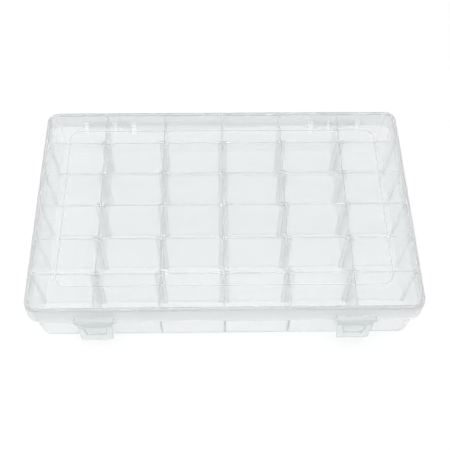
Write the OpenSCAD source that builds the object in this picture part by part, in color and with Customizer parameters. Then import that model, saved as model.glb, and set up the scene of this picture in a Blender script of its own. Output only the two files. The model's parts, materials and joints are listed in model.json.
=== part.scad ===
// Clear organiser box: a base tray with fixed walls, lift-out dividers and one hinged lid
// that two snap latches hold shut. X runs to the right, Y to the hinges at the back, Z up.
// The origin is under the middle of the box, on the surface that it stands on.

/* [Box] */
// Width of the lid, side to side
lid_w = 275; // [240:1:310]
// Depth of the lid, front to back
lid_d = 176; // [160:1:200]
// Height of the closed box
box_h = 45; // [42:0.5:55]
// Radius of the lid's four corners, seen from above
lid_corner_r = 9; // [7:0.5:14]
// Wall thickness of the base and of the lid's skirt
wall = 1.3; // [1.1:0.1:1.5]

/* [Base tray] */
// How far each outer wall leans in from the rim to the floor
lean = 2.4; // [1.5:0.1:3]
// Thickness of the floor
floor_t = 1.5; // [1.2:0.1:2]
// Thickness of the fixed walls along their top edge
partition_t = 1.1; // [0.9:0.1:1.4]
// How much narrower the outer columns are than the inner ones
col_trim = 1.6; // [0:0.1:3]
// How much shorter the end rows are than the inner ones
row_trim = 2.3; // [0:0.1:4]

/* [Divider slots] */
// Thickness of a lift-out divider
divider_t = 1.2; // [1:0.1:1.4]
// Width of the slot between the two ribs of a pair
slot_w = 1.6; // [1.5:0.1:1.9]
// Thickness of one slot rib
rib_t = 1; // [0.7:0.1:1.2]
// How far a rib stands out from a fixed wall
rib_reach = 2.8; // [2.2:0.1:4]
// How far a rib stands out from an outer wall
side_rib_reach = 1.3; // [1:0.1:2]

/* [Lid] */
// Thickness of the lid's top
lid_top_t = 1.5; // [1.2:0.1:2]
// Radius of the lid's upper edge
lid_edge_r = 1.8; // [1:0.1:2.5]
// Height of the skirt, down from the top face
skirt_h = 16; // [15.5:0.1:17]
// Depth of the stepped panel in the lid's top
panel_step = 0.7; // [0.3:0.1:0.8]
// Distance from the lid's side to the stepped panel
panel_margin = 19.8; // [16:0.2:24]

/* [Hinges and latches] */
// Distance from the middle of the box to each hinge and each latch
fitting_x = 90.3; // [80:0.1:100]
// Radius of the hinge pins
hinge_pin_r = 1.25; // [1.1:0.05:1.3]
// Width of a latch at its knuckle
latch_w = 26; // [22:0.5:30]
// Radius of the pins that the latches turn on
latch_pin_r = 1.1; // [1:0.05:1.15]
// Radial play of every knuckle on its pin
pin_play = 0.08; // [0.05:0.01:0.1]

/* [Hidden] */
columns = 6;
rows = 6;
slots = rows - 1;

// Colours
clear = [0.87, 0.92, 0.92, 0.35];
clear_lid = [0.84, 0.91, 0.92, 0.3];
clear_latch = [0.72, 0.8, 0.81, 0.5];
clear_divider = [0.9, 0.95, 0.95, 0.4];

// Smoothness of round outlines, of hull corners and of small arcs
round_fn = 64;
hull_fn = 32;
edge_steps = 5;

// Thickness of the sheets that a hull joins, and how far cutters reach past a face
sheet = 0.01;
past = 1;

// Heights
lid_under = box_h - lid_top_t;
skirt_z = box_h - skirt_h;
rim_z = lid_under - 0.2;
partition_z = lid_under - 0.5;
divider_z = lid_under - 0.7;

// Plan of the base: the rim clears the skirt as the lid swings up
rim_gap = 0.7;
foot_corner_extra = 1.5;
rim_w = lid_w - 2 * (wall + rim_gap);
rim_d = lid_d - 2 * (wall + rim_gap);
rim_corner_r = lid_corner_r - wall - rim_gap;
foot_corner_r = rim_corner_r + foot_corner_extra;
foot_edge_r = 2;
inner_w = rim_w - 2 * wall;
inner_d = rim_d - 2 * wall;
col_pitch = (inner_w + 2 * col_trim) / columns;
row_pitch = (inner_d + 2 * row_trim) / rows;

// Fixed walls get a little thicker towards the floor
partition_draft = 0.1;
partition_foot_t = partition_t + partition_draft;
rib_offset = (slot_w + rib_t) / 2;
rib_lead = 0.6;
rib_foot = 0.2;

// Dividers
divider_play = 0.3;
divider_corner = 1.5;

// Stepped panel: its depth along Y differs a little from its margin at the sides
panel_corner_r = 8;
panel_margin_trim = 0.8;

// Two small stiffening ribs inside the front of the skirt
skirt_rib_x = 21.5;
skirt_rib_w = 0.8;
skirt_rib_t = 0.2;
skirt_rib_foot = 37;

// Rear hinge: the pin lies just behind the skirt, in three lugs of the base. The middle lug
// stands nearer to the middle of the box, between a long and a short knuckle of the lid
hinge_behind = 0.7;
hinge_rise = 1;
hinge_y = lid_d / 2 + hinge_behind;
hinge_z = skirt_z + hinge_rise;
hinge_lug_r = 2.6;
hinge_lug_w = 4;
hinge_mid_lug_w = 2.6;
hinge_mid_shift = 4.4;
hinge_knuckle_r = 2.75;
hinge_knuckle_gap = 0.3;
hinge_half = 21;
hinge_window_play = 0.4;
hinge_window_rise = 5;
hinge_window_half = hinge_half + hinge_window_play;
hinge_window_top = hinge_z + hinge_window_rise;
hinge_mouth = 2;
hinge_mouth_angle = -55;
hinge_gusset_h = 6;

// Front latch: its pin lies in the plane of the skirt, between two lugs of the lid
latch_before = 0.95;
latch_rise = 2.8;
latch_y = -(lid_d / 2 + latch_before);
latch_z = skirt_z + latch_rise;
latch_knuckle_r = 2.5;
latch_lug_r = 2.1;
latch_lug_w = 1.3;
latch_window_play = 0.2;
latch_window_rise = 3;
latch_window_half = latch_w / 2 + latch_window_play;
latch_window_top = latch_z + latch_window_rise;
latch_mouth = 1.8;
brow_h = 1.1;
brow_reach = 0.9;

// Latch flap, seen from the front: its widths as they differ from the knuckle's
flap_bottom = 7.5;
flap_below_pin = 3.3;
flap_top = latch_z - flap_below_pin;
shoulder_foot_w = latch_w - 2.6;
flap_top_w = latch_w - 1.5;
flap_foot_w = latch_w - 3.4;
flap_corner_r = 2;
flap_t = 1.7;
flap_face = -latch_y + latch_knuckle_r;
panel_top_w = 16.4;
panel_foot_w = 12.8;
panel_top_z = 26.3;
panel_foot_z = 15.3;
panel_depth = 0.9;
groove_depth = 0.5;
groove_h = 0.8;
groove_bevel = 0.1;

// Hook on the back of the flap: a flat top, a blunt tip and a sloping lower face
hook_w = 17;
hook_tip = -latch_y - 2.95;
hook_top = 21.8;
hook_t = 1.8;
hook_tip_t = 0.6;
hook_slope = 1.6;
hook_root = 0.3;

// Catch ridge of the base, just above the hook
catch_w = 20;
catch_z = 22;
catch_reach = -latch_y - 1.45;
catch_tip_t = 0.7;
catch_t = 4;

function divider_name(r, c) = str("divider_r", r, "_c", c);
// Half of a size that leans in by lean from the rim down to the floor, at height z
function leaning(half, z) = half - lean * (1 - z / rim_z);
// Place of fixed wall i and of slot row j, counted from the middle of the box
function partition_x(i) = (i - (columns - 2) / 2) * col_pitch;
function slot_y(j) = (j - (slots - 1) / 2) * row_pitch;
// Half thickness of a fixed wall at height z
function partition_half(z) = (partition_foot_t + (partition_t - partition_foot_t) * z / partition_z) / 2;

// A thin sheet with round corners, at height z
module plate(w, d, r, z) {
    for (sx = [-1, 1], sy = [-1, 1])
        translate([sx * (w / 2 - r), sy * (d / 2 - r), z])
            cylinder(r = r, h = sheet, $fn = hull_fn);
}

// The outside of the tray as one solid block, with a rounded lower edge
module tray_block() {
    foot_w = rim_w - 2 * lean;
    foot_d = rim_d - 2 * lean;
    hull() {
        for (a = [0 : 90 / edge_steps : 90]) {
            inset = foot_edge_r * (1 - sin(a));
            rise = foot_edge_r * (1 - cos(a));
            grow = 2 * lean * rise / rim_z;
            plate(foot_w + grow - 2 * inset, foot_d + grow - 2 * inset, foot_corner_r - inset, rise);
        }
        plate(rim_w, rim_d, rim_corner_r, rim_z - sheet);
    }
}

// The space inside the tray's outer walls
module tray_cavity() {
    foot_lean = 2 * lean * (1 - floor_t / rim_z);
    over = 2 * lean * past / rim_z;
    hull() {
        plate(inner_w - foot_lean, inner_d - foot_lean, foot_corner_r - wall, floor_t);
        plate(inner_w + over, inner_d + over, rim_corner_r - wall, rim_z + past);
    }
}

// A solid drawn in the Y-Z plane and pulled along X, centred on x
module along_x(x, length) {
    translate([x - length / 2, 0, 0])
        rotate([90, 0, 90])
            linear_extrude(length)
                children();
}

// A solid drawn in the X-Z plane and pulled along Y, centred on y
module along_y(y, length) {
    translate([0, y + length / 2, 0])
        rotate([90, 0, 0])
            linear_extrude(length)
                children();
}

// One fixed wall, front to back, thicker at the floor and running into the outer walls
module partition(x) {
    root = wall / 2;
    front_foot = leaning(rim_d / 2, floor_t) - root;
    front_top = leaning(rim_d / 2, partition_z) - root;
    intersection() {
        along_x(x, partition_foot_t)
            polygon([[-front_foot, floor_t / 2], [front_foot, floor_t / 2],
                     [front_top, partition_z], [-front_top, partition_z]]);
        along_y(0, rim_d)
            polygon([[x - partition_half(0), 0], [x + partition_half(0), 0],
                     [x + partition_half(partition_z), partition_z],
                     [x - partition_half(partition_z), partition_z]]);
    }
}

// The outline of a rib that crosses a fixed wall, with a lead-in at the top on both sides
module cross_rib_outline(x) {
    top = partition_half(partition_z) + rib_reach;
    foot = partition_half(0) + rib_reach + rib_foot;
    polygon([[x - foot, floor_t / 2], [x + foot, floor_t / 2],
             [x + top, partition_z - rib_lead], [x + top - rib_lead, partition_z],
             [x - top + rib_lead, partition_z], [x - top, partition_z - rib_lead]]);
}

// The outline of a rib on a leaning side wall; side is -1 for the left wall and 1 for the right
module side_rib_outline(side) {
    root_foot = leaning(rim_w / 2, floor_t) - wall / 2;
    root_top = leaning(rim_w / 2, partition_z) - wall / 2;
    reach = side_rib_reach + wall / 2;
    polygon([[side * root_foot, floor_t / 2], [side * (root_foot - reach - rib_foot), floor_t / 2],
             [side * (root_top - reach), partition_z - rib_lead],
             [side * (root_top - reach + rib_lead), partition_z], [side * root_top, partition_z]]);
}

// The rib pairs of one slot row, along all the walls
module slot_row(y) {
    for (s = [-1, 1]) {
        for (i = [0 : columns - 2])
            along_y(y + s * rib_offset, rib_t) cross_rib_outline(partition_x(i));
        for (side = [-1, 1])
            along_y(y + s * rib_offset, rib_t) side_rib_outline(side);
    }
}

// A lug behind the rear wall that carries the hinge pin, with a gusset under it
module hinge_lug(x, width) {
    root = leaning(rim_d / 2, hinge_z) - wall / 2;
    low_root = leaning(rim_d / 2, hinge_z - hinge_gusset_h) - wall / 2;
    along_x(x, width) {
        translate([hinge_y, hinge_z]) circle(hinge_lug_r, $fn = round_fn);
        polygon([[root, hinge_z + hinge_lug_r], [hinge_y, hinge_z + hinge_lug_r],
                 [hinge_y, hinge_z - hinge_lug_r], [low_root, hinge_z - hinge_lug_r - hinge_gusset_h]]);
    }
}

// The base's half of the hinge on one side: three lugs and the round pin through them
module hinge_base(side) {
    x = side * fitting_x;
    for (s = [-1, 1])
        hinge_lug(x + s * (hinge_half - hinge_lug_w / 2), hinge_lug_w);
    hinge_lug(x - side * hinge_mid_shift, hinge_mid_lug_w);
    translate([x - hinge_half, hinge_y, hinge_z])
        rotate([0, 90, 0])
            cylinder(r = hinge_pin_r, h = 2 * hinge_half, $fn = round_fn);
}

// The ridge that a latch hooks under, sloped above so that the hook rides over it
module catch_ridge(x) {
    root = leaning(rim_d / 2, catch_z) - wall / 2;
    along_x(x, catch_w)
        polygon([[-root, catch_z], [-catch_reach, catch_z], [-catch_reach, catch_z + catch_tip_t],
                 [-root, catch_z + catch_t]]);
}

module base_tray() {
    color(clear) {
        difference() {
            tray_block();
            tray_cavity();
        }
        for (i = [0 : columns - 2]) partition(partition_x(i));
        for (j = [0 : slots - 1]) slot_row(slot_y(j));
        for (side = [-1, 1]) {
            hinge_base(side);
            catch_ridge(side * fitting_x);
        }
    }
}

// The outside of the lid as one solid block, with a rounded upper edge
module lid_block() {
    hull() {
        plate(lid_w, lid_d, lid_corner_r, skirt_z);
        for (a = [0 : 90 / edge_steps : 90]) {
            inset = lid_edge_r * (1 - cos(a));
            z = box_h - lid_edge_r * (1 - sin(a)) - sheet;
            plate(lid_w - 2 * inset, lid_d - 2 * inset, lid_corner_r - inset, z);
        }
    }
}

// The space under the lid, inside its skirt
module lid_cavity() {
    w = lid_w - 2 * wall;
    d = lid_d - 2 * wall;
    r = lid_corner_r - wall;
    translate([0, 0, skirt_z - past])
        linear_extrude(lid_under - skirt_z + past)
            rounded_rect(w, d, r);
}

// A flat outline with true round corners
module rounded_rect(w, d, r) {
    square([w - 2 * r, d], center = true);
    square([w, d - 2 * r], center = true);
    for (sx = [-1, 1], sy = [-1, 1])
        translate([sx * (w / 2 - r), sy * (d / 2 - r)])
            circle(r, $fn = round_fn);
}

// The shallow stepped panel in the lid's top face
module lid_panel() {
    translate([0, 0, box_h - panel_step])
        linear_extrude(panel_step + past)
            rounded_rect(lid_w - 2 * panel_margin, lid_d - 2 * (panel_margin - panel_margin_trim),
                         panel_corner_r);
}

// Openings in the skirt, at one hinge and at one latch
module hinge_window(x) {
    translate([x - hinge_window_half, lid_d / 2 - wall - past, skirt_z - past])
        cube([2 * hinge_window_half, wall + 2 * past, hinge_window_top - skirt_z + past]);
}

module latch_window(x) {
    translate([x - latch_window_half, -lid_d / 2 - past, skirt_z - past])
        cube([2 * latch_window_half, wall + 2 * past, latch_window_top - skirt_z + past]);
}

// One C-shaped knuckle of the lid, on a web that hangs from the skirt
module hinge_knuckle(x, width) {
    skirt_in = lid_d / 2 - wall;
    along_x(x, width)
        difference() {
            union() {
                translate([hinge_y, hinge_z]) circle(hinge_knuckle_r, $fn = round_fn);
                translate([skirt_in, hinge_z])
                    square([wall, hinge_window_top + past - hinge_z]);
            }
            translate([hinge_y, hinge_z]) {
                circle(hinge_pin_r + pin_play, $fn = round_fn);
                rotate(hinge_mouth_angle)
                    translate([0, -hinge_mouth / 2])
                        square([hinge_knuckle_r + past, hinge_mouth]);
            }
        }
}

// The lid's half of the hinge on one side: a long and a short knuckle between the base's lugs
module hinge_lid(side) {
    x = side * fitting_x;
    outer = hinge_half - hinge_lug_w - hinge_knuckle_gap;
    near = hinge_mid_shift - hinge_mid_lug_w / 2 - hinge_knuckle_gap;
    far = hinge_mid_shift + hinge_mid_lug_w / 2 + hinge_knuckle_gap;
    hinge_knuckle(x + side * (outer - near) / 2, outer + near);
    hinge_knuckle(x - side * (outer + far) / 2, outer - far);
}

// The small ribs inside the front of the skirt
module skirt_ribs() {
    for (s = [-1, 1])
        translate([s * skirt_rib_x - skirt_rib_w / 2, -lid_d / 2 + wall / 2, skirt_rib_foot])
            cube([skirt_rib_w, wall / 2 + skirt_rib_t, lid_under + lid_top_t / 2 - skirt_rib_foot]);
}

// The lid's mount for one latch: two lugs, the pin between them and a brow above
module latch_mount(x) {
    skirt_face = -lid_d / 2;
    for (s = [-1, 1])
        along_x(x + s * (latch_window_half + latch_lug_w / 2), latch_lug_w) {
            translate([latch_y, latch_z]) circle(latch_lug_r, $fn = round_fn);
            polygon([[latch_y, latch_z + latch_lug_r], [skirt_face + wall / 2, latch_z + latch_lug_r],
                     [skirt_face + wall / 2, skirt_z], [latch_y, latch_z - latch_lug_r]]);
        }
    translate([x - latch_window_half, latch_y, latch_z])
        rotate([0, 90, 0])
            cylinder(r = latch_pin_r, h = 2 * latch_window_half, $fn = round_fn);
    brow_half = latch_window_half + latch_lug_w;
    translate([x - brow_half, skirt_face - brow_reach, latch_window_top])
        cube([2 * brow_half, brow_reach + wall / 2, brow_h]);
}

module lid() {
    color(clear_lid) {
        difference() {
            lid_block();
            lid_cavity();
            lid_panel();
            for (side = [-1, 1]) {
                hinge_window(side * fitting_x);
                latch_window(side * fitting_x);
            }
        }
        for (side = [-1, 1]) {
            hinge_lid(side);
            latch_mount(side * fitting_x);
        }
        skirt_ribs();
    }
}

// Front view of a latch: a tapering shoulder, a notch, and a flap with round lower corners
module latch_outline() {
    half_top = flap_top_w / 2;
    half_foot = flap_foot_w / 2;
    groove_top = flap_top + groove_h;
    polygon([[-latch_w / 2, latch_z + latch_knuckle_r], [latch_w / 2, latch_z + latch_knuckle_r],
             [latch_w / 2, latch_z], [shoulder_foot_w / 2, groove_top],
             [-shoulder_foot_w / 2, groove_top], [-latch_w / 2, latch_z]]);
    polygon([[-shoulder_foot_w / 2, groove_top + groove_bevel],
             [shoulder_foot_w / 2, groove_top + groove_bevel],
             [half_top, flap_top], [half_foot, flap_bottom + flap_corner_r],
             [half_foot - flap_corner_r, flap_bottom], [-half_foot + flap_corner_r, flap_bottom],
             [-half_foot, flap_bottom + flap_corner_r], [-half_top, flap_top]]);
    for (s = [-1, 1])
        translate([s * (half_foot - flap_corner_r), flap_bottom + flap_corner_r])
            circle(flap_corner_r, $fn = round_fn);
}

// Side view of a latch: the C-shaped knuckle, the flap that hangs from it and the hook inside
module latch_profile() {
    difference() {
        union() {
            translate([latch_y, latch_z]) circle(latch_knuckle_r, $fn = round_fn);
            translate([-flap_face, flap_bottom]) square([flap_t, latch_z - flap_bottom]);
        }
        translate([latch_y, latch_z]) {
            circle(latch_pin_r + pin_play, $fn = round_fn);
            translate([0, -latch_mouth / 2]) square([latch_knuckle_r + past, latch_mouth]);
        }
        translate([-flap_face, flap_top]) square([groove_depth, groove_h]);
    }
}

module latch_hook(x) {
    inside = -(flap_face - flap_t);
    foot = hook_top - hook_t - hook_slope;
    along_x(x, hook_w)
        polygon([[inside - hook_root, hook_top], [-hook_tip, hook_top],
                 [-hook_tip, hook_top - hook_tip_t], [inside, foot], [inside - hook_root, foot]]);
}

// The recess in the front of the flap, narrower at its foot
module latch_panel(x) {
    along_y(-flap_face + panel_depth / 2, panel_depth)
        polygon([[x - panel_top_w / 2, panel_top_z], [x + panel_top_w / 2, panel_top_z],
                 [x + panel_foot_w / 2, panel_foot_z], [x - panel_foot_w / 2, panel_foot_z]]);
}

module latch(x) {
    color(clear_latch) {
        difference() {
            intersection() {
                along_x(x, latch_w + 2 * past) latch_profile();
                along_y(latch_y, 4 * latch_knuckle_r) translate([x, 0]) latch_outline();
            }
            latch_panel(x);
        }
        latch_hook(x);
    }
}

module latch_left() { latch(-fitting_x); }
module latch_right() { latch(fitting_x); }

// Half width of the space for a divider of column c at height z, left (side -1) or right (side 1)
function bay_edge(c, side, z) =
    side < 0
        ? (c == 1 ? -leaning(inner_w / 2, z) : partition_x(c - 2) + partition_half(z))
        : (c == columns ? leaning(inner_w / 2, z) : partition_x(c - 1) - partition_half(z));

// A lift-out divider: a thin plate as wide as its bay, with cut lower corners, standing on the floor
module divider(r, c) {
    left_foot = bay_edge(c, -1, floor_t) + divider_play;
    left_top = bay_edge(c, -1, divider_z) + divider_play;
    right_foot = bay_edge(c, 1, floor_t) - divider_play;
    right_top = bay_edge(c, 1, divider_z) - divider_play;
    color(clear_divider)
        along_y(slot_y(r - 1), divider_t)
            polygon([[left_foot + divider_corner, floor_t], [right_foot - divider_corner, floor_t],
                     [right_foot, floor_t + divider_corner], [right_top, divider_z],
                     [left_top, divider_z], [left_foot, floor_t + divider_corner]]);
}

base_tray();
lid();
latch_left();
latch_right();
for (r = [1:slots], c = [1:columns])
    divider(r, c);
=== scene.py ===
"""Looks of a clear compartment box with one hinged lid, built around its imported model.

The base tray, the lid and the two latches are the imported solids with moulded, rounded edges, and
the step round the lid's sunk panel is made softer. The lift-out dividers are surfaces worked out
with numpy. Everything is in metres.
"""
import json
import math

import bmesh
import bpy
import numpy as np
from bpy.props import FloatProperty, FloatVectorProperty, IntProperty, PointerProperty
from mathutils import Matrix, Vector


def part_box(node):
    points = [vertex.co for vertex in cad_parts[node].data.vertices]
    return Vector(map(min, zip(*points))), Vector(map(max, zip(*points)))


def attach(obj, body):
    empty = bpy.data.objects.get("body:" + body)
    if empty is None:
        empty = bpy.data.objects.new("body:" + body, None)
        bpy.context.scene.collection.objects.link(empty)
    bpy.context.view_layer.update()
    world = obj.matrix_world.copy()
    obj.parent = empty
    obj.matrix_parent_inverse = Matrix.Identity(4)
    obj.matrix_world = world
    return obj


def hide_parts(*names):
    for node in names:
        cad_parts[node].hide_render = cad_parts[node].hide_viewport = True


bl_info = {
    "name": "Clear compartment box",
    "version": (1, 0, 0),
    "blender": (4, 5, 0),
    "location": "View3D > Sidebar > Compartment box",
    "description": "Rounds the edges of a clear moulded box, makes its dividers and its stage",
    "category": "Object",
}

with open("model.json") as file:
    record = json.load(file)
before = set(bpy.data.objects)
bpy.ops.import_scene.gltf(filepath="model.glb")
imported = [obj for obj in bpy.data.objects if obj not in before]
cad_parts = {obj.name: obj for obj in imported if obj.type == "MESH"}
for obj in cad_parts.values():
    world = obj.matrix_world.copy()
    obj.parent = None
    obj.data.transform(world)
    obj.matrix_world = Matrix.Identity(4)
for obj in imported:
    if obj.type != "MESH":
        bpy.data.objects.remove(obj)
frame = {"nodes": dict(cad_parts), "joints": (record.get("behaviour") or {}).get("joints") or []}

MM = 0.001
DIVIDERS = sorted(name for name in frame["nodes"] if name.startswith("divider_"))
LATCHES = ("latch_left", "latch_right")
SLOT_SEED = 7  # starts the draws of how each divider stands in its slots
COORDINATE_DECIMALS = 6  # a plate's corners are taken to the thousandth of a millimetre

# The faces of a moulding are told apart by the upward part of their normal.
FLAT = 0.99  # above it: quite flat
LEVEL = 0.9  # above it: level, as a floor or the top of a wall
SKIRT_UPRIGHT = 0.7  # below it: the lid's skirt, or the part of its edge that turns into it
WALL_UPRIGHT = 0.3  # below it: an upright wall
TILTED = 0.1  # above it: tilted upwards

# They are also told apart by where they lie.
UNDER_TOP = 1 * MM  # deepest that a wall's top and the lid's sunk panel lie under the piece's top
FOOT_BAND = 0.5 * MM  # half the height of the band in which the rounded foot lies
OUTER_WALL = 3 * MM  # how far inside the foot's outline the outer walls reach
PIN_REACH = 4 * MM  # how far the knuckles and lugs of the hinges reach round their pins
BROW_START = 0.62  # share of a latch's height at which its thick upper part starts
OUTWARD = 0.5  # least cosine between an outer wall's normal and the way out from the middle

# Finish of the clear plastic, and the painted shade on its hazy faces
# Face attribute that roughens a face as milkiness and darkens its tint as painted shade
MILK_AND_SHADE_MARK = "milky"
REFRACTION = 1.49
FULLY_DULL = 0.1  # value of the mark at which a surface can't get duller
DULL_ROUGHNESS = 0.42  # what that adds to its roughness
FLOW_DARKEST = 0.985  # share of light left in the darkest flow marks
UNEVEN_ROUGHNESS = 0.04
SCRATCH_ROUGHNESS = 0.12
SCRATCH_SHARPNESS = 60
WAVE_HEIGHT = 0.35 * MM
QUICK_WAVES = 0.06  # height of the short waves, as a share of the long ones

# Stage
FLOOR_GAP = 0.1 * MM
FLOOR_GREY = 0.9
FLOOR_ROUGHNESS = 0.9
SENSOR_WIDTH = 36  # in millimetres, as Blender's cameras take it
LIGHT_BOUNCES = 64  # lets light run through the lid, many walls and back
LAMPS = {"overhead": (1.0, (0.0, -0.2, 1.25)), "side": (0.8, (-1.3, -0.5, 0.8))}  # width, place


# ---------------------------------------------------------------- sizes and colours

class MouldingSizes(bpy.types.PropertyGroup):
    """Sizes of the edges and corners that the moulds leave, and a divider's play in its slots."""
    edge_radius: FloatProperty(
        name="Edge radius", description="Radius of the moulded edges of tray, lid and latches",
        default=0.22 * MM, min=0.05 * MM, max=0.4 * MM, unit="LENGTH", precision=5)
    edge_steps: IntProperty(
        name="Edge steps", description="Faces across each rounded edge", default=2, min=1, max=4)
    step_slope: FloatProperty(
        name="Step slope", description="Width of the soft slope round the lid's stepped panel",
        default=0.8 * MM, min=0.1 * MM, max=2 * MM, unit="LENGTH", precision=5)
    divider_edge: FloatProperty(
        name="Divider edge radius", description="Radius of a divider's long edges",
        default=0.35 * MM, min=0.1 * MM, max=0.5 * MM, unit="LENGTH", precision=5)
    divider_corner: FloatProperty(
        name="Divider corner radius", description="Radius of a divider's corners, from the front",
        default=0.9 * MM, min=0.5 * MM, max=2 * MM, unit="LENGTH", precision=5)
    divider_play: FloatProperty(
        name="Divider play", description="How far a divider may stand off the middle of its slot",
        default=0.12 * MM, min=0, max=0.18 * MM, unit="LENGTH", precision=5)


class MilkAndShadeShares(bpy.types.PropertyGroup):
    """How hazy the parts of each moulding are and how dark painted shade makes them, from clear at
    0 to dull and dark at 1.
    """
    # Each share below roughens its faces as milkiness and darkens their tint by that share as
    # painted shade
    tray_edge: FloatProperty(
        name="Milky tray edges", description="How milky the tray's rounded edges are",
        default=0.05, min=0, max=1, subtype="FACTOR")
    tray_top: FloatProperty(
        name="Milky wall tops", description="How milky the level tops of the fixed walls are",
        default=0.12, min=0, max=1, subtype="FACTOR")
    tray_wall: FloatProperty(
        name="Milky outer walls", description="How milky the outside of the tray's walls is",
        default=0.035, min=0, max=1, subtype="FACTOR")
    tray_inner: FloatProperty(
        name="Milky fixed walls", description="How milky the sides of the fixed walls and ribs are",
        default=0.008, min=0, max=1, subtype="FACTOR")
    # painted contact shade where the outer walls and dividers stand on the floor
    foot: FloatProperty(
        name="Milky feet", description="How milky the foot of each outer wall and divider is",
        default=0.35, min=0, max=1, subtype="FACTOR")
    lid_edge: FloatProperty(
        name="Milky lid edges", description="How milky the lid's rounded edges are",
        default=0.09, min=0, max=1, subtype="FACTOR")
    # painted shade that draws the dark line round the lid's sunk panel
    lid_step: FloatProperty(
        name="Milky step", description="How milky the slope round the lid's stepped panel is",
        default=0.08, min=0, max=1, subtype="FACTOR")
    # painted shade on the outside of the lid's long and short skirts, deeper on the short ones
    lid_skirt: FloatProperty(
        name="Milky skirt", description="How milky the outside of the lid's long skirts is",
        default=0.085, min=0, max=1, subtype="FACTOR")
    lid_side: FloatProperty(
        name="Milky sides", description="How milky the outside of the lid's short skirts is",
        default=0.18, min=0, max=1, subtype="FACTOR")
    # painted shade on the knuckles, lugs and pins of the hinges
    hinge: FloatProperty(
        name="Milky hinges", description="How milky the knuckles, lugs and pins of the hinges are",
        default=0.09, min=0, max=1, subtype="FACTOR")
    latch_edge: FloatProperty(
        name="Milky latch edges", description="How milky the rounded edges of the latches are",
        default=0.2, min=0, max=1, subtype="FACTOR")
    # painted shade on the thick upper part of each latch
    latch_brow: FloatProperty(
        name="Milky brow", description="How milky the thick upper part of a latch is",
        default=0.1, min=0, max=1, subtype="FACTOR")


class PlasticLook(bpy.types.PropertyGroup):
    """The clear plastic's colour in the depth, the tint, depth and clearness of each part, and
    the roughness that they share."""
    deep_colour: FloatVectorProperty(
        name="Deep colour", description="Colour that deep plastic lets through",
        subtype="COLOR", size=3, default=(0.60, 0.655, 0.665), min=0, max=1)
    tray_tint: FloatVectorProperty(
        name="Tray tint", description="Colour that the base tray's surface lets through",
        subtype="COLOR", size=3, default=(0.953, 0.959, 0.961), min=0, max=1)
    tray_depth: FloatProperty(
        name="Tray depth",
        description="How strongly a metre of the base tray's plastic takes off light",
        default=6, min=0, max=1000)
    tray_clearness: FloatProperty(
        name="Tray clearness",
        description="Share of the light that the base tray lets through unscattered",
        default=0.86, min=0, max=1, subtype="FACTOR")
    lid_tint: FloatVectorProperty(
        name="Lid tint", description="Colour that the lid's surface lets through",
        subtype="COLOR", size=3, default=(0.95, 0.956, 0.958), min=0, max=1)
    lid_depth: FloatProperty(
        name="Lid depth", description="How strongly a metre of the lid's plastic takes off light",
        default=18, min=0, max=1000)
    lid_clearness: FloatProperty(
        name="Lid clearness",
        description="Share of the light that the lid lets through unscattered",
        default=0.93, min=0, max=1, subtype="FACTOR")
    latch_tint: FloatVectorProperty(
        name="Latch tint", description="Colour that a latch's surface lets through",
        subtype="COLOR", size=3, default=(0.87, 0.89, 0.895), min=0, max=1)
    latch_depth: FloatProperty(
        name="Latch depth", description="How strongly a metre of a latch's plastic takes off light",
        default=50, min=0, max=1000)
    latch_clearness: FloatProperty(
        name="Latch clearness",
        description="Share of the light that a latch lets through unscattered",
        default=0.6, min=0, max=1, subtype="FACTOR")
    divider_tint: FloatVectorProperty(
        name="Divider tint", description="Colour that a divider's surface lets through",
        subtype="COLOR", size=3, default=(0.985, 0.987, 0.988), min=0, max=1)
    divider_depth: FloatProperty(
        name="Divider depth",
        description="How strongly a metre of a divider's plastic takes off light",
        default=2, min=0, max=1000)
    divider_clearness: FloatProperty(
        name="Divider clearness",
        description="Share of the light that a divider lets through unscattered",
        default=0.76, min=0, max=1, subtype="FACTOR")
    roughness: FloatProperty(
        name="Roughness", description="Roughness of a clean moulded face",
        default=0.03, min=0, max=1, subtype="FACTOR")


class StageLook(bpy.types.PropertyGroup):
    """Camera, floor, room and lights."""
    focal_length: FloatProperty(
        name="Focal length", description="Focal length on a 36 mm wide square frame",
        default=65.47, min=20, max=200, unit="CAMERA")
    camera_place: FloatVectorProperty(
        name="Camera", description="Place of the camera", subtype="TRANSLATION", unit="LENGTH",
        size=3, default=(-8.36 * MM, -341.52 * MM, 540.50 * MM), precision=5)
    pitch: FloatProperty(
        name="Pitch", description="How far the camera looks down from level",
        default=0.994, unit="ROTATION")
    yaw: FloatProperty(
        name="Yaw", description="How far the camera looks to the right of straight back",
        default=0.028, unit="ROTATION")
    roll: FloatProperty(
        name="Roll", description="How far the camera leans over to the left",
        default=0.016, unit="ROTATION")
    floor_size: FloatProperty(
        name="Floor", description="Width of the floor", default=8.0, min=2, max=20, unit="LENGTH")
    horizon: FloatProperty(
        name="Horizon", description="Brightness of the room at eye level",
        default=0.7, min=0, max=5)
    zenith: FloatProperty(
        name="Ceiling", description="Brightness of the room straight overhead",
        default=0.8, min=0, max=5)
    overhead: FloatProperty(
        name="Overhead light", description="Power of the wide soft light over the box",
        default=7.0, min=0, max=200, unit="POWER")
    side: FloatProperty(
        name="Side light", description="Power of the soft light at the left",
        default=3.0, min=0, max=200, unit="POWER")


# ---------------------------------------------------------------- meshes

def new_piece(name, mesh, body, nodes, material):
    """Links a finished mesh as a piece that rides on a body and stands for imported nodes."""
    piece = bpy.data.objects.new(name, mesh)
    bpy.context.scene.collection.objects.link(piece)
    mesh.materials.clear()
    mesh.materials.append(material)
    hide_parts(*nodes)
    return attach(piece, body)


def merged_copy(node, merge=0.002 * MM):
    """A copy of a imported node's mesh, with its loose triangles merged into one closed surface."""
    mesh = frame["nodes"][node].data.copy()
    work = bmesh.new()
    work.from_mesh(mesh)
    bmesh.ops.remove_doubles(work, verts=work.verts, dist=merge)
    work.to_mesh(mesh)
    work.free()
    return mesh


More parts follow.
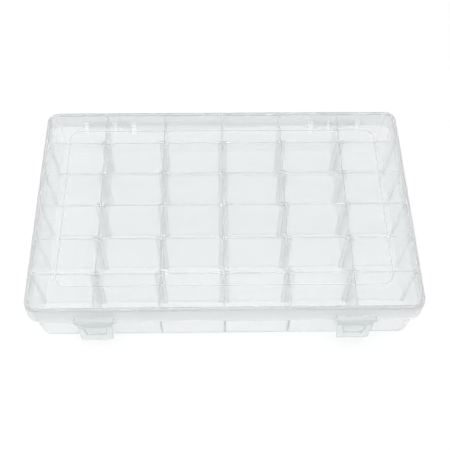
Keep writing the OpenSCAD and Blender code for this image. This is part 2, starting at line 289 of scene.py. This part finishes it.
def finished_mesh(piece):
    """Applies the piece's modifiers to its mesh."""
    graph = bpy.context.evaluated_depsgraph_get()
    mesh = bpy.data.meshes.new_from_object(piece.evaluated_get(graph), depsgraph=graph)
    piece.modifiers.clear()
    piece.data = mesh
    return mesh


def points_of(mesh):
    """The points of a mesh, as an (n, 3) array."""
    points = np.empty(len(mesh.vertices) * 3)
    mesh.vertices.foreach_get("co", points)
    return points.reshape(-1, 3)


def set_points(mesh, points):
    """Moves the points of a mesh to the rows of an (n, 3) array."""
    mesh.vertices.foreach_set("co", points.ravel())
    mesh.update()


def facing(mesh):
    """The normal and the middle of each face, as two (n, 3) arrays."""
    normal = np.empty(len(mesh.polygons) * 3)
    middle = np.empty(len(mesh.polygons) * 3)
    mesh.polygons.foreach_get("normal", normal)
    mesh.polygons.foreach_get("center", middle)
    return normal.reshape(-1, 3), middle.reshape(-1, 3)


def shade_moulded(mesh, widest_turn=50, plane_step=0.02 * MM, turn_step=0.005):
    """Smooth shading in which flat walls stay flat up to their rounded edges.

    Faces that share a plane, with normal and distance rounded to a step, add up to one area. The
    normal at a face's corner is the sum of the normals of the faces that meet there, leaving out
    those that turn by more than widest_turn degrees, each weighted by its plane's whole area."""
    faces, corners = len(mesh.polygons), len(mesh.loops)
    normal, middle = facing(mesh)
    area = np.empty(faces)
    sides = np.empty(faces, np.int64)
    point = np.empty(corners, np.int64)
    mesh.polygons.foreach_get("area", area)
    mesh.polygons.foreach_get("loop_total", sides)
    mesh.loops.foreach_get("vertex_index", point)
    distance = (normal * middle).sum(1)
    planes = np.round(np.column_stack([normal / turn_step, distance / plane_step])).astype(np.int64)
    plane = np.unique(planes, axis=0, return_inverse=True)[1].ravel()
    weight = np.bincount(plane, area)[plane]
    face = np.repeat(np.arange(faces), sides)
    order = np.argsort(point, kind="stable")
    meeting = np.bincount(point)
    first = np.concatenate([[0], np.cumsum(meeting)[:-1]])
    number = meeting[point]
    here = np.repeat(np.arange(corners), number)
    step = np.arange(len(here)) - np.repeat(np.cumsum(number) - number, number)
    there = order[first[point[here]] + step]
    mine, other = face[here], face[there]
    turns_little = (normal[mine] * normal[other]).sum(1) > math.cos(math.radians(widest_turn))
    share = np.where(turns_little, weight[other], 0)[:, None] * normal[other]
    smooth = np.stack([np.bincount(here, share[:, axis], corners) for axis in range(3)], 1)
    smooth /= np.linalg.norm(smooth, axis=1)[:, None]
    mesh.shade_smooth()
    mesh.normals_split_custom_set(smooth)


def mark_milk_and_shade(mesh, milky):
    """Stores for each face how hazy its surface is and how dark painted shade makes it, from 0 to
    1.
    """
    mark = mesh.attributes.new(MILK_AND_SHADE_MARK, "FLOAT", "FACE")
    mark.data.foreach_set("value", np.asarray(milky, np.float32))


def near_pins(mesh):
    """Which faces lie round the pins, near the axis of the lid's hinge, which runs along X."""
    axis = next(joint for joint in frame["joints"] if joint["name"] == "lid_hinge")["pos_m"]
    return np.hypot(*(facing(mesh)[1][:, 1:] - np.array(axis)[1:]).T) < PIN_REACH


def tray_milk_and_shade(mesh, on_edge, shares, top, floor):
    """The milkiness and painted shade of the tray's faces: painted dark lines on the sides and
    level tops of the fixed walls and ribs, painted shade on the outside of the outer walls, and
    painted contact shade on the rounded corners at their foot, at the floor's height."""
    normal, middle = facing(mesh)
    level = normal[:, 2] > LEVEL
    wall = np.abs(normal[:, 2]) < WALL_UPRIGHT
    outward = (normal[:, :2] * middle[:, :2]).sum(1) > OUTWARD * np.hypot(*middle[:, :2].T)
    foot_half = np.abs(middle[middle[:, 2] < floor, :2]).max(0)
    outer = (np.abs(middle[:, :2]) > foot_half - OUTER_WALL).any(1)
    at_foot = on_edge & outer & (np.abs(middle[:, 2] - floor) < FOOT_BAND)
    at_top = level & (middle[:, 2] > top - UNDER_TOP)
    inner = wall & (middle[:, 2] > floor)
    # Each value roughens the face and darkens its tint as painted shade, most of all at the foot.
    milky = np.where(on_edge, shares.tray_edge, inner * shares.tray_inner)
    milky = np.where(at_top & outer, shares.tray_edge, milky)
    milky = np.where(at_top & ~outer, milky + shares.tray_top, milky)
    milky = np.where(wall & outward, shares.tray_wall, milky)
    milky = np.where(at_foot, shares.foot, milky)
    return np.where(near_pins(mesh), shares.hinge, milky)


def lid_milk_and_shade(mesh, on_edge, shares, top):
    """The milkiness and painted shade of the lid's faces: painted dark lines on its rounded edges
    and rim and on the slope round the sunk panel, which looks towards the middle just under the
    top, and painted shade on the outside of the skirt."""
    normal, middle = facing(mesh)
    rise = normal[:, 2]
    upright = np.abs(rise) < SKIRT_UPRIGHT
    outward = (normal[:, :2] * middle[:, :2]).sum(1) > 0
    sideways = np.abs(normal[:, 0]) > np.abs(normal[:, 1])
    slope = ~outward & (middle[:, 2] > top - UNDER_TOP) & (rise > 0) & (rise < FLAT)
    rim = outward & (rise > TILTED) & (rise < FLAT)
    # Painted shade on the outside of the skirts, deeper on the short ones
    skirt = np.where(sideways, shares.lid_side, shares.lid_skirt)
    milky = np.where(on_edge | rim, shares.lid_edge, 0)
    milky = np.where(slope, shares.lid_step, milky)
    milky = np.where(upright & outward & ~rim, np.maximum(milky, skirt), milky)
    return np.where(near_pins(mesh), shares.hinge, milky)


def latch_milk_and_shade(mesh, on_edge, shares):
    """The milkiness and painted shade of a latch's faces: its rounded edges and its thick upper
    part, both darkened as painted shade.
    """
    height = facing(mesh)[1][:, 2]
    brow = height > height.min() + BROW_START * np.ptp(height)
    return np.maximum(on_edge * shares.latch_edge, brow * shares.latch_brow)


def round_edges(piece, box, radius, steps, least_angle=32):
    """Rounds every edge that turns by more than least_angle degrees, draws in the points that this
    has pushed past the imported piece's box, and returns which faces are on rounded edges. The
    modifier puts the second material slot on its new faces, which tells them apart."""
    bevel = piece.modifiers.new("moulded edges", "BEVEL")
    bevel.width = radius
    bevel.segments = steps
    bevel.limit_method = "ANGLE"
    bevel.angle_limit = math.radians(least_angle)
    bevel.use_clamp_overlap = False
    edge_slot = 1
    bevel.material = edge_slot
    material = piece.data.materials[0]
    piece.data.materials.append(material)
    mesh = finished_mesh(piece)
    set_points(mesh, np.clip(points_of(mesh), *box))
    shade_moulded(mesh)
    slots = np.empty(len(mesh.polygons), np.int32)
    mesh.polygons.foreach_get("material_index", slots)
    mesh.polygons.foreach_set("material_index", np.zeros_like(slots))
    mesh.materials.clear()
    mesh.materials.append(material)
    return slots == edge_slot


def soften_step(mesh, slope, clear=0.02 * MM):
    """Turns the upright step round the lid's sunk panel into a soft slope.

    The panel's outline is the first level of points under the top that lies wholly inside the
    lid's rounded rim. Its points rise by half the step, and move towards the middle by the
    slope's width, as a share of the outline's half width along X and half depth along Y."""
    points = points_of(mesh)
    top = points[:, 2].max()
    depth = top - points[:, 2]
    rim = np.abs(points[depth < clear]).max(0)
    sunk = (depth > clear) & (depth < UNDER_TOP)
    inside = sunk & (np.abs(points[:, :2]) < rim[:2] - clear).all(1)
    half = np.abs(points[inside]).max(0)
    points[inside, 2] = top - depth[inside] / 2
    points[inside, :2] *= 1 - slope / half[:2]
    set_points(mesh, points)
    return mesh


def outline_of(node):
    """The corners of a flat plate that stands across Y, in order round its middle, as an (n, 2)
    array of x and z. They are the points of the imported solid, each taken once and sorted by their
    angle."""
    flat = points_of(frame["nodes"][node].data)[:, [0, 2]]
    flat = np.unique(np.round(flat, COORDINATE_DECIMALS), axis=0)
    middle = flat.mean(0)
    turn = np.arctan2(flat[:, 1] - middle[1], flat[:, 0] - middle[0])
    return flat[np.argsort(turn)]


def filleted(corners, radius, steps=4):
    """An outline with each corner of a convex polygon replaced by an arc, and its outward normals.

    At each corner the arc's centre lies on the two inner lines at distance radius from the sides.
    The arc turns from the first side's normal to the second's in equal angles. The corners run
    anticlockwise, so a side turned clockwise by a quarter gives its normal."""
    along = np.roll(corners, -1, 0) - corners
    along /= np.linalg.norm(along, axis=1)[:, None]
    out = np.stack([along[:, 1], -along[:, 0]], 1)
    before = np.roll(out, 1, 0)
    half_turn = (before + out) / (1 + (before * out).sum(1))[:, None]
    centres = corners - radius * half_turn
    first = np.arctan2(before[:, 1], before[:, 0])
    swing = np.arctan2(
        before[:, 0] * out[:, 1] - before[:, 1] * out[:, 0], (before * out).sum(1))
    angles = first[:, None] + swing[:, None] * np.linspace(0, 1, steps + 1)
    normals = np.stack([np.cos(angles), np.sin(angles)], 2)
    points = centres[:, None] + radius * normals
    return points.reshape(-1, 2), normals.reshape(-1, 2)


def plate_surface(corners, low_y, high_y, corner_radius, edge_radius, lean, steps=3):
    """Points and faces of a thin upright plate with rounded edges, and which faces lie on them.

    The surface has two parameters: u runs along the filleted outline, and v runs over the rounded
    edge from the back face to the front. At v the outline is drawn in along its normals by
    r (1 - cos a), and y is r (1 - sin a) short of the face, as on a quarter circle of radius r.
    The two flat faces close the plate. The top stands lean further along Y than the foot."""
    outline, normals = filleted(corners, corner_radius)
    quarter = np.linspace(math.pi / 2, 0, steps + 1)
    inset = edge_radius * (1 - np.cos(quarter))
    short = edge_radius * (1 - np.sin(quarter))
    inset = np.concatenate([inset, inset[::-1]])
    y = np.concatenate([high_y - short, (low_y + short)[::-1]])
    flat = outline[None] - inset[:, None, None] * normals[None]
    rings, count = flat.shape[:2]
    level = (flat[:, :, 1] - corners[:, 1].min()) / np.ptp(corners[:, 1])
    points = np.stack(
        [flat[:, :, 0], y[:, None] + lean * level, flat[:, :, 1]], 2).reshape(-1, 3)
    u = np.arange(count)
    v = np.arange(rings - 1)[:, None] * count
    here, ahead = v + u, v + np.roll(u, -1)
    sides = np.stack([here, ahead, ahead + count, here + count], 2).reshape(-1, 4)
    faces = sides.tolist() + [u[::-1].tolist(), ((rings - 1) * count + u).tolist()]
    on_edge = np.append(np.repeat(np.arange(rings - 1) != steps, count), (False, False))
    return points, faces, on_edge


# ---------------------------------------------------------------- materials

def share_input(group, name):
    """Adds a number socket that runs from 0 to 1 to a node group."""
    socket = group.interface.new_socket(name, in_out="INPUT", socket_type="NodeSocketFloat")
    socket.min_value = 0
    socket.max_value = 1


def moulded_surface_and_shade_group():
    """What the moulding leaves on clear plastic, and painted shade: a faint waviness, flow marks,
    small scratches, and hazy parts that are darkened as painted shade.

    Two noises, one of a few centimetres and one of a few millimetres, add up to the waviness of the
    faces, and the second also makes their roughness a little uneven. Long thin noise, stretched
    along X, gives flow marks. Scratches are thin crests, where another stretched noise comes near
    its middle value, and they show only in patches. Roughness rises with the milkiness and shade
    input until the surface can't get duller. Tint, the share of light that is left, falls with that
    input all the way, which is painted shade."""
    group = bpy.data.node_groups.new("moulded_surface", "ShaderNodeTree")
    group.interface.new_socket("Vector", in_out="INPUT", socket_type="NodeSocketVector")
    for name in ("Roughness", "Scratches", "Milky"):
        share_input(group, name)
    for name in ("Roughness", "Tint"):
        group.interface.new_socket(name, in_out="OUTPUT", socket_type="NodeSocketFloat")
    group.interface.new_socket("Normal", in_out="OUTPUT", socket_type="NodeSocketVector")
    nodes, links = group.nodes, group.links
    inside = nodes.new("NodeGroupInput")
    outside = nodes.new("NodeGroupOutput")

    def noise(scale, detail, stretch=(1, 1, 1), distortion=0.0):
        mapping = nodes.new("ShaderNodeMapping")
        mapping.inputs["Scale"].default_value = stretch
        texture = nodes.new("ShaderNodeTexNoise")
        texture.inputs["Scale"].default_value = scale
        texture.inputs["Detail"].default_value = detail
        texture.inputs["Distortion"].default_value = distortion
        links.new(inside.outputs["Vector"], mapping.inputs["Vector"])
        links.new(mapping.outputs["Vector"], texture.inputs["Vector"])
        return texture.outputs["Fac"]

    def ranged(value, low, high, to_low, to_high):
        node = nodes.new("ShaderNodeMapRange")
        links.new(value, node.inputs["Value"])
        node.inputs["From Min"].default_value = low
        node.inputs["From Max"].default_value = high
        node.inputs["To Min"].default_value = to_low
        node.inputs["To Max"].default_value = to_high
        return node.outputs["Result"]

    def maths(operation, first, second=0):
        node = nodes.new("ShaderNodeMath")
        node.operation = operation
        for socket, value in zip(node.inputs, (first, second)):
            if isinstance(value, bpy.types.NodeSocket):
                links.new(value, socket)
            else:
                socket.default_value = value
        return node.outputs[0]

    slow = noise(scale=18, detail=1)
    quick = noise(scale=140, detail=2)
    flow = noise(scale=30, detail=3, stretch=(0.25, 1, 1), distortion=0.4)
    scratch = noise(scale=420, detail=2, stretch=(0.12, 1, 0.5), distortion=0.3)
    off_middle = maths("ABSOLUTE", maths("SUBTRACT", scratch, 0.5))
    crest = maths("SUBTRACT", 1, maths("MULTIPLY", off_middle, SCRATCH_SHARPNESS))
    patches = ranged(noise(scale=9, detail=1), low=0.5, high=0.62, to_low=0, to_high=1)
    crest = maths("MULTIPLY", maths("MAXIMUM", crest, 0), patches)
    crest = maths("MULTIPLY", crest, inside.outputs["Scratches"])
    uneven = maths("MULTIPLY", maths("SUBTRACT", quick, 0.5), UNEVEN_ROUGHNESS)
    rough = maths("ADD", inside.outputs["Roughness"], uneven)
    rough = maths("ADD", rough, maths("MULTIPLY", crest, SCRATCH_ROUGHNESS))
    milky = inside.outputs["Milky"]
    dull = ranged(milky, low=0, high=FULLY_DULL, to_low=0, to_high=DULL_ROUGHNESS)
    links.new(maths("ADD", rough, dull), outside.inputs["Roughness"])
    marks = ranged(flow, low=0.35, high=0.65, to_low=FLOW_DARKEST, to_high=1)
    # The tint falls with the mark: painted shade over the flow marks.
    tint = maths("MULTIPLY", marks, maths("SUBTRACT", 1, milky))
    links.new(tint, outside.inputs["Tint"])
    height = maths("ADD", slow, maths("MULTIPLY", quick, QUICK_WAVES))
    bump = nodes.new("ShaderNodeBump")
    bump.inputs["Distance"].default_value = WAVE_HEIGHT
    links.new(height, bump.inputs["Height"])
    links.new(bump.outputs["Normal"], outside.inputs["Normal"])
    return group


def clear_plastic(name, tint, depth, clearness, look, group, scratches):
    """Clear moulded plastic: it bends and passes light, and takes off more of it the further it
    runs inside. The share of the light beyond clearness is scattered at the surface, as in slightly
    hazy plastic. Shadow rays and scattered light pass straight through and lose the root of the
    tint at each face, so that lamps and floor light what is behind it."""
    material = bpy.data.materials.new(name)
    material.use_nodes = True
    nodes, links = material.node_tree.nodes, material.node_tree.links
    surface, outcome = nodes["Principled BSDF"], nodes["Material Output"]
    surface.inputs["IOR"].default_value = REFRACTION
    surface.inputs["Transmission Weight"].default_value = clearness

    place = nodes.new("ShaderNodeTexCoord")
    finish = nodes.new("ShaderNodeGroup")
    finish.node_tree = group
    finish.inputs["Roughness"].default_value = look.roughness
    finish.inputs["Scratches"].default_value = scratches
    # The face mark of milkiness and painted shade, which darkens the tint through the group
    milky = nodes.new("ShaderNodeAttribute")
    milky.attribute_name = MILK_AND_SHADE_MARK
    links.new(milky.outputs["Fac"], finish.inputs["Milky"])
    links.new(place.outputs["Object"], finish.inputs["Vector"])
    shade = nodes.new("ShaderNodeVectorMath")
    shade.operation = "SCALE"
    shade.inputs[0].default_value = tint
    links.new(finish.outputs["Tint"], shade.inputs["Scale"])
    links.new(shade.outputs[0], surface.inputs["Base Color"])
    links.new(finish.outputs["Roughness"], surface.inputs["Roughness"])
    links.new(finish.outputs["Normal"], surface.inputs["Normal"])

    path = nodes.new("ShaderNodeLightPath")
    passes = nodes.new("ShaderNodeMath")
    passes.operation = "MAXIMUM"
    straight = nodes.new("ShaderNodeBsdfTransparent")
    straight.inputs["Color"].default_value = (*(math.sqrt(c) for c in tint), 1)
    mix = nodes.new("ShaderNodeMixShader")
    links.new(path.outputs["Is Shadow Ray"], passes.inputs[0])
    links.new(path.outputs["Is Diffuse Ray"], passes.inputs[1])
    links.new(passes.outputs[0], mix.inputs[0])
    links.new(surface.outputs[0], mix.inputs[1])
    links.new(straight.outputs[0], mix.inputs[2])
    links.new(mix.outputs[0], outcome.inputs["Surface"])

    inside = nodes.new("ShaderNodeVolumeAbsorption")
    inside.inputs["Color"].default_value = (*look.deep_colour, 1)
    inside.inputs["Density"].default_value = depth
    links.new(inside.outputs[0], outcome.inputs["Volume"])
    return material


def plastic(slot, part, scratches=0.5):
    """The clear plastic of one material slot, with the tint, depth and clearness set for a part."""
    group = bpy.data.node_groups.get("moulded_surface") or moulded_surface_and_shade_group()
    look = bpy.context.scene.plastic_look
    tint, depth, clearness = (
        getattr(look, part + quality) for quality in ("_tint", "_depth", "_clearness"))
    return clear_plastic(slot + "_plastic", tint, depth, clearness, look, group, scratches)


# ---------------------------------------------------------------- operators

class BOX_OT_base_tray(bpy.types.Operator):
    """Make the base tray: floor, outer and fixed walls, slot ribs, hinge lugs and catch ridges"""
    bl_idname = "box.base_tray"
    bl_label = "Base tray"

    def execute(self, context):
        sizes = context.scene.moulding_sizes
        piece = new_piece("tray_moulding", merged_copy("base_tray"), "base",
                          ["base_tray"], plastic("clear_base", "tray"))
        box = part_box("base_tray")
        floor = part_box(DIVIDERS[0])[0].z
        on_edge = round_edges(piece, box, sizes.edge_radius, sizes.edge_steps)
        mark_milk_and_shade(piece.data, tray_milk_and_shade(
            piece.data, on_edge, context.scene.milky_shares, box[1].z, floor))
        return {"FINISHED"}


class BOX_OT_lid(bpy.types.Operator):
    """Make the lid: top with its stepped panel, skirt, hinge knuckles and latch lugs"""
    bl_idname = "box.lid"
    bl_label = "Lid"

    def execute(self, context):
        sizes = context.scene.moulding_sizes
        piece = new_piece("lid_moulding", soften_step(merged_copy("lid"), sizes.step_slope), "lid",
                          ["lid"], plastic("clear_lid", "lid", scratches=0.8))
        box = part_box("lid")
        on_edge = round_edges(piece, box, sizes.edge_radius, sizes.edge_steps)
        mark_milk_and_shade(piece.data, lid_milk_and_shade(piece.data, on_edge, context.scene.milky_shares, box[1].z))
        return {"FINISHED"}


class BOX_OT_latches(bpy.types.Operator):
    """Make the two snap latches"""
    bl_idname = "box.latches"
    bl_label = "Latches"

    def execute(self, context):
        sizes = context.scene.moulding_sizes
        material = plastic("clear_latch", "latch")
        for node in LATCHES:
            piece = new_piece(
                node + "_moulding", merged_copy(node), node, [node], material)
            on_edge = round_edges(piece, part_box(node), sizes.edge_radius, sizes.edge_steps)
            mark_milk_and_shade(piece.data, latch_milk_and_shade(piece.data, on_edge, context.scene.milky_shares))
        return {"FINISHED"}


class BOX_OT_dividers(bpy.types.Operator):
    """Make the lift-out dividers, each a plate with rounded edges that stands in its slots"""
    bl_idname = "box.dividers"
    bl_label = "Lift-out dividers"

    def execute(self, context):
        sizes = context.scene.moulding_sizes
        material = plastic("clear_divider", "divider")
        draw = np.random.default_rng(SLOT_SEED)
        for node in DIVIDERS:
            low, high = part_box(node)
            shift, lean = draw.uniform(-1, 1, 2) * sizes.divider_play / 2
            points, faces, on_edge = plate_surface(
                outline_of(node), low.y + shift, high.y + shift,
                sizes.divider_corner, sizes.divider_edge, lean)
            mesh = bpy.data.meshes.new(node + "_plate")
            mesh.from_pydata(points, [], faces)
            new_piece(node + "_plate", mesh, "base", [node], material)
            shade_moulded(mesh)
            # The rounded edges at a divider's foot get painted contact shade and some milkiness
            # from the foot share.
            at_foot = on_edge & (facing(mesh)[1][:, 2] < low.z + sizes.divider_edge)
            mark_milk_and_shade(mesh, at_foot * context.scene.milky_shares.foot)
        return {"FINISHED"}


def studio_room(horizon, zenith):
    """A plain pale room for light from all round, dimmer at eye level than overhead, so that the
    edges of the clear plastic show dark."""
    world = bpy.data.worlds.new("studio")
    world.use_nodes = True
    nodes, links = world.node_tree.nodes, world.node_tree.links
    place = nodes.new("ShaderNodeTexCoord")
    parts = nodes.new("ShaderNodeSeparateXYZ")
    rise = nodes.new("ShaderNodeMapRange")
    rise.interpolation_type = "SMOOTHSTEP"
    rise.inputs["To Min"].default_value = horizon
    rise.inputs["To Max"].default_value = zenith
    links.new(place.outputs["Generated"], parts.inputs[0])
    links.new(parts.outputs["Z"], rise.inputs["Value"])
    links.new(rise.outputs["Result"], nodes["Background"].inputs["Strength"])
    nodes["Background"].inputs["Color"].default_value = (1, 1, 1, 1)
    return world


def pale_floor(width):
    """A plain square of pale paper round the middle, a hair under the box."""
    half = width / 2
    mesh = bpy.data.meshes.new("floor")
    mesh.from_pydata(
        [(-half, -half, 0), (half, -half, 0), (half, half, 0), (-half, half, 0)], [],
        [(0, 1, 2, 3)])
    mesh.transform(Matrix.Translation((0, 0, -FLOOR_GAP)))
    material = bpy.data.materials.new("pale_floor")
    material.use_nodes = True
    paper = material.node_tree.nodes["Principled BSDF"]
    paper.inputs["Base Color"].default_value = (FLOOR_GREY, FLOOR_GREY, FLOOR_GREY, 1)
    paper.inputs["Roughness"].default_value = FLOOR_ROUGHNESS
    mesh.materials.append(material)
    return bpy.data.objects.new("floor", mesh)


def soft_lamp(name, power, width, place):
    """A square soft light that points at the middle of the box's foot."""
    lamp = bpy.data.lights.new(name, "AREA")
    lamp.energy = power
    lamp.size = width
    light = bpy.data.objects.new(name, lamp)
    turn = (-Vector(place)).to_track_quat("-Z", "Y").to_matrix().to_4x4()
    light.matrix_world = Matrix.Translation(place) @ turn
    return light


def camera_turn(yaw, pitch, roll):
    """The camera's turn. It looks along +Y, turned right by yaw, down by pitch, and then leans to
    the left by roll round its line of sight."""
    ahead = Vector((
        math.sin(yaw) * math.cos(pitch), math.cos(yaw) * math.cos(pitch), -math.sin(pitch)))
    level = Vector((math.cos(yaw), -math.sin(yaw), 0))
    upright = level.cross(ahead)
    right = math.cos(roll) * level + math.sin(roll) * upright
    up = math.cos(roll) * upright - math.sin(roll) * level
    return Matrix((right, up, -ahead)).transposed().to_4x4()


class BOX_OT_stage(bpy.types.Operator):
    """Make the pale floor, the room, the soft lights and the camera"""
    bl_idname = "box.stage"
    bl_label = "Stage"

    def execute(self, context):
        scene = context.scene
        stage = scene.stage_look
        floor = pale_floor(stage.floor_size)
        scene.collection.objects.link(floor)

        scene.world = studio_room(stage.horizon, stage.zenith)
        for name, (width, place) in LAMPS.items():
            scene.collection.objects.link(soft_lamp(name, getattr(stage, name), width, place))

        lens = bpy.data.cameras.new("camera")
        lens.sensor_width = SENSOR_WIDTH
        lens.lens = stage.focal_length
        camera = bpy.data.objects.new("camera", lens)
        turn = camera_turn(stage.yaw, stage.pitch, stage.roll)
        camera.matrix_world = Matrix.Translation(stage.camera_place) @ turn
        scene.collection.objects.link(camera)
        scene.camera = camera

        scene.view_settings.view_transform = "Standard"
        scene.cycles.use_denoising = True
        scene.cycles.max_bounces = LIGHT_BOUNCES
        scene.cycles.transmission_bounces = LIGHT_BOUNCES
        scene.cycles.glossy_bounces = LIGHT_BOUNCES
        scene.cycles.transparent_max_bounces = LIGHT_BOUNCES
        return {"FINISHED"}


class BOX_PT_panel(bpy.types.Panel):
    """Lists the steps that make the box"""
    bl_idname = "BOX_PT_panel"
    bl_label = "Compartment box"
    bl_space_type = "VIEW_3D"
    bl_region_type = "UI"
    bl_category = "Compartment box"

    def draw(self, context):
        for step in STEPS:
            self.layout.operator(step.bl_idname)
        for group in SETTINGS:
            settings = getattr(context.scene, group)
            box = self.layout.box()
            for name in settings.__annotations__:
                box.prop(settings, name)


STEPS = (BOX_OT_base_tray, BOX_OT_lid, BOX_OT_latches, BOX_OT_dividers, BOX_OT_stage)
SETTINGS = {
    "moulding_sizes": MouldingSizes,
    "milky_shares": MilkAndShadeShares,
    "plastic_look": PlasticLook,
    "stage_look": StageLook,
}


def register():
    """Adds the settings, the steps and the panel to Blender."""
    for group in SETTINGS.values():
        bpy.utils.register_class(group)
    for name, group in SETTINGS.items():
        setattr(bpy.types.Scene, name, PointerProperty(type=group))
    for step in (*STEPS, BOX_PT_panel):
        bpy.utils.register_class(step)


def unregister():
    """Takes them out again."""
    for step in (BOX_PT_panel, *reversed(STEPS)):
        bpy.utils.unregister_class(step)
    for name, group in SETTINGS.items():
        delattr(bpy.types.Scene, name)
        bpy.utils.unregister_class(group)


def main():
    """Makes the box and its stage."""
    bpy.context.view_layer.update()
    register()
    bpy.ops.box.base_tray()
    bpy.ops.box.lid()
    bpy.ops.box.latches()
    bpy.ops.box.dividers()
    bpy.ops.box.stage()


if __name__ == "__main__":
    main()
